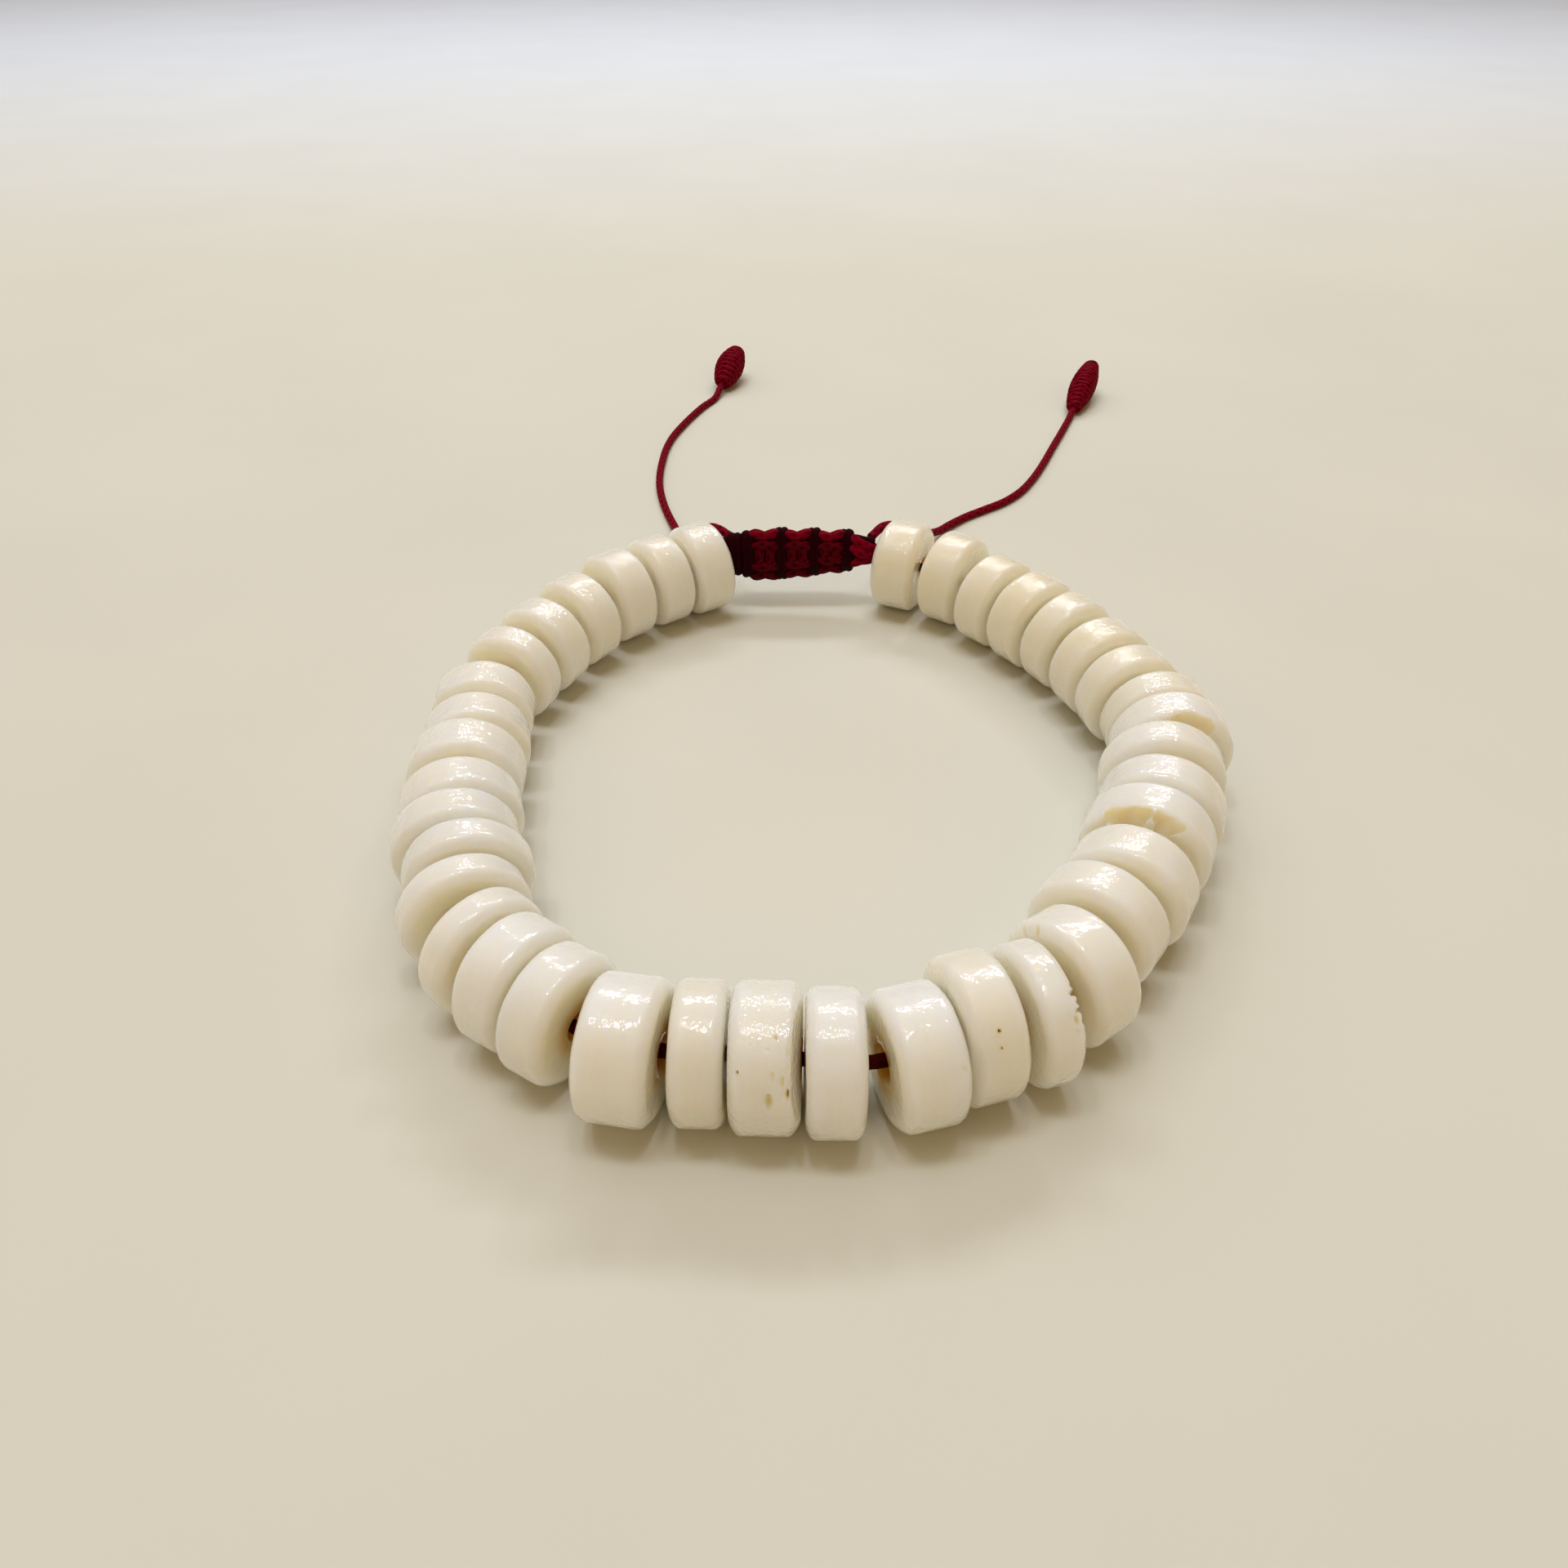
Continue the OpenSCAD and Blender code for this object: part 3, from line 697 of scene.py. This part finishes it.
def slide_lines(strand):
    """The slide knot's lines in metres: its wraps and core, the cords of its face, and those of its top."""
    halves = [BRAID_WIDTH / 2 * share for share in KNOT_SHARES]
    inner, face, top = [], [], []
    for x, share in zip((END_TURN_X, *KNOT_XS), WRAP_SHARES):
        half = BRAID_WIDTH / 2 * share
        front, back = WRAP_OUT
        for shift in (-WRAP_APART / 2, WRAP_APART / 2):
            wrap = []
            for a in np.radians(np.arange(-90, 271, WRAP_STEP)):
                out = math.sin(a) * (front if math.sin(a) > 0 else back)
                wrap.append(braid_point(x + shift, math.cos(a) * (half - strand / 2), out))
            inner.append(wrap)
    for k in range(len(KNOT_XS) - 1):
        x, half = KNOT_XS[k], (halves[k] + halves[k + 1]) / 2
        for edge in (1, -1):
            for loop in EDGE_LOOPS:
                line = [braid_point(x + s * KNOT_PITCH, edge * (half - down), out) for s, down, out in loop]
                (top if edge > 0 and loop is EDGE_LOOPS[0] else face).append(line)
        for place in BAR_PLACES:
            for side in (1, -1):
                reach = half - EDGE_LOOPS[1][2][1]
                bar = [(w * reach, side * BAR_OUT * (1 - BAR_DIP * abs(w) ** 3)) for w in BAR_POINTS]
                face.append([braid_point(x + place * KNOT_PITCH, w, out) for w, out in bar])
    for loop in LAST_LOOPS:
        top.append([braid_point(x, w, out) for x, w, out in loop])
    for place in CORE_PLACES:
        inner.append([
            braid_point(x, place * float(np.interp(x, CORE_XS, CORE_SHARES)), 0)
            for x in np.linspace(CORE_XS[0], CORE_XS[-1], CORE_POINTS)
        ])
    return [[smoothed(line, SLIDE_STEP * MM) for line in part] for part in (inner, face, top)]


def wound_lines(route, length, belly, turns, cord):
    """An end knot: cord wound in close turns round itself, thickest in its middle, in metres."""
    foot = np.array(route[-1]) * MM
    run = foot - np.array(route[-2]) * MM
    run /= np.linalg.norm(run)
    across = np.cross((0, 0, 1), run)
    across /= np.linalg.norm(across)
    above = np.cross(run, across)
    wound = []
    for t in np.linspace(0, 1, turns * POINTS_PER_TURN):
        angle = 2 * math.pi * turns * t
        swell = math.sin(math.pi * (KNOT_START + KNOT_RUN * t))
        bow = (belly - cord) / 2 * (KNOT_TIP + (1 - KNOT_TIP) * swell)
        place = foot + run * (cord / 2 + (length - cord) * t)
        wound.append(place + bow * (math.cos(angle) * across + math.sin(angle) * above))
    core = [foot + run * (length * t) for t in np.linspace(0.0, CORE_REACH, KNOT_CORE_POINTS)]
    return [np.array(wound), np.array(core)]


# Materials


def material(name):
    return bpy.data.materials.get(name) or MATERIALS[name]()


def new_material(name):
    made = bpy.data.materials.new(name)
    made.use_nodes = True
    tree = made.node_tree
    tree.nodes.clear()
    shader = add(tree, "ShaderNodeBsdfPrincipled")
    add(tree, "ShaderNodeOutputMaterial", {"Surface": shader})
    return made, tree, shader


def polished_bone():
    """Bone, sawn into discs, ground round by hand and buffed: milky and translucent, with a wet gloss."""
    made, tree, shader = new_material("polished_bone")
    colours = bpy.context.scene.bracelet_colours
    place = add(tree, "ShaderNodeAttribute", attribute_name="in_bead").outputs["Vector"]
    finish = add(tree, "ShaderNodeAttribute", attribute_name="bead_finish_and_shade").outputs["Vector"]
    yellow, rough, dark = add(tree, "ShaderNodeSeparateXYZ", finish).outputs
    spot = add(tree, "ShaderNodeTexCoord").outputs["Object"]
    x, y, z = add(tree, "ShaderNodeSeparateXYZ", place).outputs
    squares = [add(tree, MATH, way, way, operation="MULTIPLY") for way in (x, y)]
    reach = add(tree, MATH, add(tree, MATH, *squares, operation="ADD"), operation="SQRT")
    # slow growth clouds, and fine lines round the bead along the grain
    cloud = add(tree, "ShaderNodeTexNoise", {"Vector": spot, "Scale": 1 / (CLOUD_WIDTH * MM), "Detail": 2.0})
    stretched = [
        add(tree, MATH, way, size * MM, operation="DIVIDE")
        for way, size in ((x, GRAIN_LENGTH), (y, GRAIN_LENGTH), (z, GRAIN_SPACING))
    ]
    lines = add(tree, "ShaderNodeCombineXYZ", *stretched)
    grain = add(tree, "ShaderNodeTexNoise", {"Vector": lines, "Scale": 1.0, "Detail": 3.0})
    warm = yellow
    for pattern, share in ((cloud, CLOUD_SHARE), (grain, GRAIN_SHARE)):
        level = add(tree, MATH, pattern, 0.5, operation="SUBTRACT")
        shift = add(tree, MATH, level, share, operation="MULTIPLY")
        warm = add(tree, MATH, warm, shift, operation="ADD")
    # one colour lies over the last: warm bands, a painted glow on the faces inwards from the barrel and a
    # yellower one close to the hole, both standing in for light that comes through the bone, and then the
    # painted shade of a chip's hollow and of a pit's floor where a mark is dark
    body = rgba(colours.bone)
    for tint, source, low, high, most, way in (
        (colours.bone_warm, warm, 0.0, 1.0, 1.0, "LINEAR"),
        (colours.bone_face_glow, reach, 4.8 * MM, 3.6 * MM, 0.9, "SMOOTHSTEP"),
        (colours.bone_bore_glow, reach, 3.0 * MM, 1.4 * MM, 0.95, "SMOOTHSTEP"),
        (colours.bone_chip_shade, dark, 0.0, 0.5, 1.0, "LINEAR"),
        (colours.bone_pit_shade, dark, 0.5, 1.0, 1.0, "LINEAR"),
    ):
        limits = {"Value": source, "From Min": low, "From Max": high, "To Max": most}
        share = add(tree, "ShaderNodeMapRange", limits, interpolation_type=way)
        body = add(tree, "ShaderNodeMix", {0: share, 6: body, 7: rgba(tint)}, data_type="RGBA").outputs[2]
    tree.links.new(body, shader.inputs["Base Color"])
    for name, value in (
        ("IOR", 1.54), ("Specular IOR Level", 0.25), ("Subsurface Weight", 1.0),
        ("Subsurface Scale", 3.8 * MM), ("Subsurface Radius", (1.0, 0.84, 0.60)), ("Coat Weight", 0.9),
        ("Coat Roughness", 0.04),
    ):
        shader.inputs[name].default_value = value
    # buffing leaves waves over a millimetre long and pores of half of one, which break up a highlight. Real
    # pores are finer, and these are drawn as coarse as they need to be to show
    waves = add(tree, "ShaderNodeTexNoise", {"Vector": spot, "Scale": 1 / (WAVE_WIDTH * MM), "Detail": 1.0})
    pores = add(tree, "ShaderNodeTexNoise", {"Vector": spot, "Scale": 1 / (PORE_WIDTH * MM), "Detail": 1.0})
    for name, wave_height, pore_height in (
        ("Normal", 0.05 * MM, 0.01 * MM), ("Coat Normal", 0.06 * MM, 0.085 * MM),
    ):
        swell = add(tree, MATH, waves, wave_height, operation="MULTIPLY")
        coarse = add(tree, MATH, rough, pore_height, operation="MULTIPLY")
        pricked = add(tree, MATH, pores, coarse, operation="MULTIPLY")
        height = add(tree, MATH, swell, pricked, operation="ADD")
        bump = add(tree, "ShaderNodeBump", {"Strength": 1.0, "Distance": 1.0, "Height": height})
        tree.links.new(bump.outputs[0], shader.inputs[name])
    clouded = add(tree, MATH, cloud, 0.5, operation="MULTIPLY")
    dull = add(tree, MATH, dark, clouded, operation="MAXIMUM")
    sheen = add(tree, "ShaderNodeMapRange", {"Value": dull, "To Min": 0.28, "To Max": 0.55})
    tree.links.new(sheen.outputs[0], shader.inputs["Roughness"])
    return made


def braided_cord():
    """Fine nylon cord, braided and lightly waxed: wine red on each strand, with painted shade between them.
    """
    colours = bpy.context.scene.bracelet_colours
    return braid("braided_cord", colours.cord, colours.cord_crease_shade)


def knotting_cord():
    """The same cord tied tight along the top of the slide."""
    colours = bpy.context.scene.bracelet_colours
    return braid("knotting_cord", colours.knotting, colours.knotting_face_shade)


def shaded_face_cord():
    """The same cord on the face of the slide, painted darker as the shade on a face turned from the light."""
    colours = bpy.context.scene.bracelet_colours
    return braid("shaded_face_cord", colours.knotting_face_shade, colours.knotting_crevice_shadow)


def shadowed_inner_cord():
    """The same cord in the wraps and the core of the slide, pressed together, and painted near black as the
    shadow in the crevices between the loops.
    """
    colours = bpy.context.scene.bracelet_colours
    return braid("shadowed_inner_cord", colours.knotting_crevice_shadow, colours.knotting_crevice_shadow)


def shaded_thread():
    """The same cord where it runs through the beads, painted darker as the shade in the gaps between them."""
    colours = bpy.context.scene.bracelet_colours
    return braid("shaded_thread", colours.thread, colours.cord_crease_shade)


def braid(name, crest, deep):
    """A braided cord's material: one colour on its strands, and painted shade between them."""
    made, tree, shader = new_material(name)
    ring = add(tree, "ShaderNodeAttribute", attribute_name="cord_ring").outputs["Vector"]
    run = add(tree, "ShaderNodeAttribute", attribute_name="cord_along").outputs["Fac"]
    high = crossing(tree, ring, run, STRANDS / 2, PLAIT_SHARE * MM)
    lit = add(tree, "ShaderNodeMapRange", {"Value": high, "From Min": -0.8, "From Max": 0.6}).outputs[0]
    # painted shade: the colour darkens from the strands' tops into the hollows between them
    tint = add(tree, "ShaderNodeMix", {0: lit, 6: rgba(deep), 7: rgba(crest)}, data_type="RGBA")
    tree.links.new(tint.outputs[2], shader.inputs["Base Color"])
    for name, value in (("Roughness", 0.55), ("IOR", 1.5), ("Specular IOR Level", 0.03)):
        shader.inputs[name].default_value = value
    bump = add(tree, "ShaderNodeBump", {"Strength": 0.4, "Distance": 0.05 * MM, "Height": high})
    tree.links.new(bump.outputs[0], shader.inputs["Normal"])
    return made


def matt_floor():
    """A plain pale sheet, matt: it takes soft shadows and shows no gloss."""
    made, tree, shader = new_material("matt_floor")
    spot = add(tree, "ShaderNodeTexCoord").outputs["Object"]
    cloud = add(tree, "ShaderNodeTexNoise", {"Vector": spot, "Scale": 1 / (FLOOR_CLOUD * MM), "Detail": 2.0})
    pale = bpy.context.scene.bracelet_colours.floor
    tint = add(tree, "ShaderNodeValToRGB", cloud)
    for stop, place, share in zip(tint.color_ramp.elements, (0.3, 0.7), (0.97, 1.0)):
        stop.position, stop.color = place, rgba([c * share for c in pale])
    tree.links.new(tint.outputs[0], shader.inputs["Base Color"])
    shader.inputs["Roughness"].default_value = 0.85
    return made


MATERIALS = {
    "polished_bone": polished_bone, "braided_cord": braided_cord, "knotting_cord": knotting_cord,
    "shaded_face_cord": shaded_face_cord, "shadowed_inner_cord": shadowed_inner_cord, "shaded_thread": shaded_thread,
    "matt_floor": matt_floor,
}


# Operators


class BRACELET_OT_camera(bpy.types.Operator):
    """Sets the camera that the loop of beads was fitted with"""

    bl_idname = "bracelet.camera"
    bl_label = "Camera"

    def execute(self, context):
        lens = bpy.data.cameras.new("camera")
        lens.lens = CAMERA_LENS
        lens.sensor_width = CAMERA_FILM
        lens.clip_start = 0.001
        camera = linked("camera", lens)
        camera.location = Vector(CAMERA_PLACE) * MM
        camera.rotation_euler = (math.radians(90 - CAMERA_DOWN), 0, 0)
        context.scene.camera = camera
        return {"FINISHED"}


class BRACELET_OT_tails(bpy.types.Operator):
    """Lays the two free tails behind the loop, each with its end knot"""

    bl_idname = "bracelet.tails"
    bl_label = "Tails and end knots"

    def execute(self, context):
        cord = context.scene.bracelet_sizes.cord
        for side, route in (("left", LEFT_ROUTE), ("right", RIGHT_ROUTE)):
            line = smoothed(np.array(route) * MM, CORD_STEP * MM)
            tail = piece(f"cord_tail_{side}", cord_mesh("tail", [line], cord), "cord", f"tail_{side}")
            length, belly, turns = END_KNOTS[side]
            wound = cord_mesh("knot", wound_lines(route, length * MM, belly * MM, turns, cord), cord)
            end = piece(f"wound_knot_{side}", wound, "cord", f"end_knot_{side}")
        return {"FINISHED"}


class BRACELET_OT_beads(bpy.types.Operator):
    """Makes the disc beads, each of its own size, turn and unevenness"""

    bl_idname = "bracelet.beads"
    bl_label = "Beads"

    def execute(self, context):
        sizes = context.scene.bracelet_sizes
        tree = disc_tree()
        chipped = {chip[0] for chip in CHIPS}
        for number, (centre, heading, diameter, thickness) in enumerate(bead_rows(), 1):
            name = f"bead_{number:02d}"
            around, across = CHIPPED_STEPS if number in chipped else PLAIN_STEPS
            if number in FINE_BEADS:
                around, across = FINE_STEPS
            if number == FINEST_BEAD:
                around, across = FINEST_STEPS
            yellow, rough = LOOKS[number]
            mesh = grown(
                linked("blank", bpy.data.meshes.new("blank")), tree,
                {
                    "Diameter": diameter + SURPLUS.get(number, USUAL_SURPLUS) * MM,
                    "Thickness": thickness + THICKER.get(number, 0) * MM,
                    "Hole": sizes.hole, "Rim Round": sizes.rim_round, "Crown": sizes.crown,
                    "Around": around, "Across": across, "Unevenness": UNEVENNESS * MM,
                    "Seed": SEED_STEP * number, "Material": material("polished_bone"),
                },
            )
            corners = np.empty(len(mesh.vertices) * 3)
            mesh.vertices.foreach_get("co", corners)
            corners = ground(corners.reshape(-1, 3), number)
            corners, dark = marked(corners, number, diameter, thickness)
            mesh.vertices.foreach_set("co", corners.ravel())
            # the third channel carries the painted shade of the chips and pits
            finish = mesh.attributes.new("bead_finish_and_shade", "FLOAT_VECTOR", "POINT")
            looks = np.stack((np.full(len(dark), yellow), np.full(len(dark), rough), dark), axis=1)
            finish.data.foreach_set("vector", looks.ravel())
            axis = Vector((math.cos(heading), math.sin(heading), 0))
            outside = Vector((math.sin(heading), -math.cos(heading), 0))
            turn = Matrix((UP, outside, axis)).transposed().to_4x4()
            mesh.transform(Matrix.Translation(Vector(centre)) @ turn)
            outward(mesh)
            piece(f"bone_{name}", mesh, "bead", name)
        return {"FINISHED"}


class BRACELET_OT_thread(bpy.types.Operator):
    """Runs the thread through the beads"""

    bl_idname = "bracelet.thread"
    bl_label = "Thread"

    def execute(self, context):
        line = smoothed(thread_route(bead_rows()), CORD_STEP * MM)
        mesh = cord_mesh("thread", [line], context.scene.bracelet_sizes.cord, "shaded_thread")
        piece("cord_thread", mesh, "cord", "thread")
        return {"FINISHED"}


class BRACELET_OT_slide(bpy.types.Operator):
    """Ties the square knots of the slide"""

    bl_idname = "bracelet.slide"
    bl_label = "Slide knot"

    def execute(self, context):
        strand = context.scene.bracelet_sizes.knotting
        parts = (("slide_wraps", "shadowed_inner_cord"), ("slide_face", "shaded_face_cord"), ("slide_top", "knotting_cord"))
        for (name, finish), lines in zip(parts, slide_lines(strand / MM)):
            piece(name, cord_mesh(name, lines, strand, finish), "cord", "slide_knot")
        return {"FINISHED"}


class BRACELET_OT_stage(bpy.types.Operator):
    """Lays the plain floor and sets the soft light"""

    bl_idname = "bracelet.stage"
    bl_label = "Floor and light"

    def execute(self, context):
        mesh = bpy.data.meshes.new("floor")
        corners = [(x * FLOOR_REACH, y * FLOOR_REACH, 0) for x, y in ((-1, -1), (1, -1), (1, 1), (-1, 1))]
        mesh.from_pydata(corners, [], [(0, 1, 2, 3)])
        mesh.materials.append(material("matt_floor"))
        linked("floor", mesh)
        for name, place, aim, wide, deep, power, tint, mirrored in LAMPS:
            data = bpy.data.lights.new(name, "AREA")
            data.shape = "RECTANGLE"
            data.size, data.size_y = wide, deep
            data.energy = power
            data.color = linear(tint)
            lamp = linked(name, data)
            lamp.location = place
            lamp.visible_glossy = mirrored
            lamp.rotation_euler = (Vector(aim) - Vector(place)).to_track_quat("-Z", "Y").to_euler()
        place, power, width, tint = DAYLIGHT
        data = bpy.data.lights.new("daylight", "SUN")
        data.energy, data.angle, data.color = power, math.radians(width), linear(tint)
        lamp = linked("daylight", data)
        lamp.visible_glossy = False
        lamp.rotation_euler = Vector(place).to_track_quat("Z", "Y").to_euler()
        world = bpy.data.worlds.new("room")
        world.use_nodes = True
        tree = world.node_tree
        glow = tree.nodes["Background"]
        glow.inputs["Color"].default_value = rgba(WORLD_COLOUR)
        glow.inputs["Strength"].default_value = WORLD_STRENGTH
        # the room lights the object dimly and warmly, and the backdrop itself is seen pale
        backdrop = add(tree, "ShaderNodeBackground", {"Color": rgba(BACKDROP)})
        seen = add(tree, "ShaderNodeLightPath").outputs["Is Camera Ray"]
        both = add(tree, "ShaderNodeMixShader", seen, glow, backdrop)
        tree.links.new(both.outputs[0], tree.nodes["World Output"].inputs["Surface"])
        context.scene.world = world
        context.scene.view_settings.view_transform = "Standard"
        return {"FINISHED"}


STEPS = (
    BRACELET_OT_camera,
    BRACELET_OT_tails,
    BRACELET_OT_thread,
    BRACELET_OT_slide,
    BRACELET_OT_beads,
    BRACELET_OT_stage,
)


class BRACELET_PT_panel(bpy.types.Panel):
    """Sizes, colours and steps of the bracelet"""

    bl_idname = "BRACELET_PT_panel"
    bl_label = "Bracelet"
    bl_space_type = "VIEW_3D"
    bl_region_type = "UI"
    bl_category = "Bracelet"

    def draw(self, context):
        for group in (context.scene.bracelet_sizes, context.scene.bracelet_colours):
            for name in group.__annotations__:
                self.layout.prop(group, name)
        for step in STEPS:
            self.layout.operator(step.bl_idname)


CLASSES = (BraceletSizes, BraceletColours, *STEPS, BRACELET_PT_panel)


def register():
    for cls in CLASSES:
        bpy.utils.register_class(cls)
    bpy.types.Scene.bracelet_sizes = bpy.props.PointerProperty(type=BraceletSizes)
    bpy.types.Scene.bracelet_colours = bpy.props.PointerProperty(type=BraceletColours)


def unregister():
    del bpy.types.Scene.bracelet_colours
    del bpy.types.Scene.bracelet_sizes
    for cls in reversed(CLASSES):
        bpy.utils.unregister_class(cls)


def main():
    register()
    for step in STEPS:
        group, name = step.bl_idname.split(".")
        getattr(getattr(bpy.ops, group), name)()


if __name__ == "__main__":
    main()
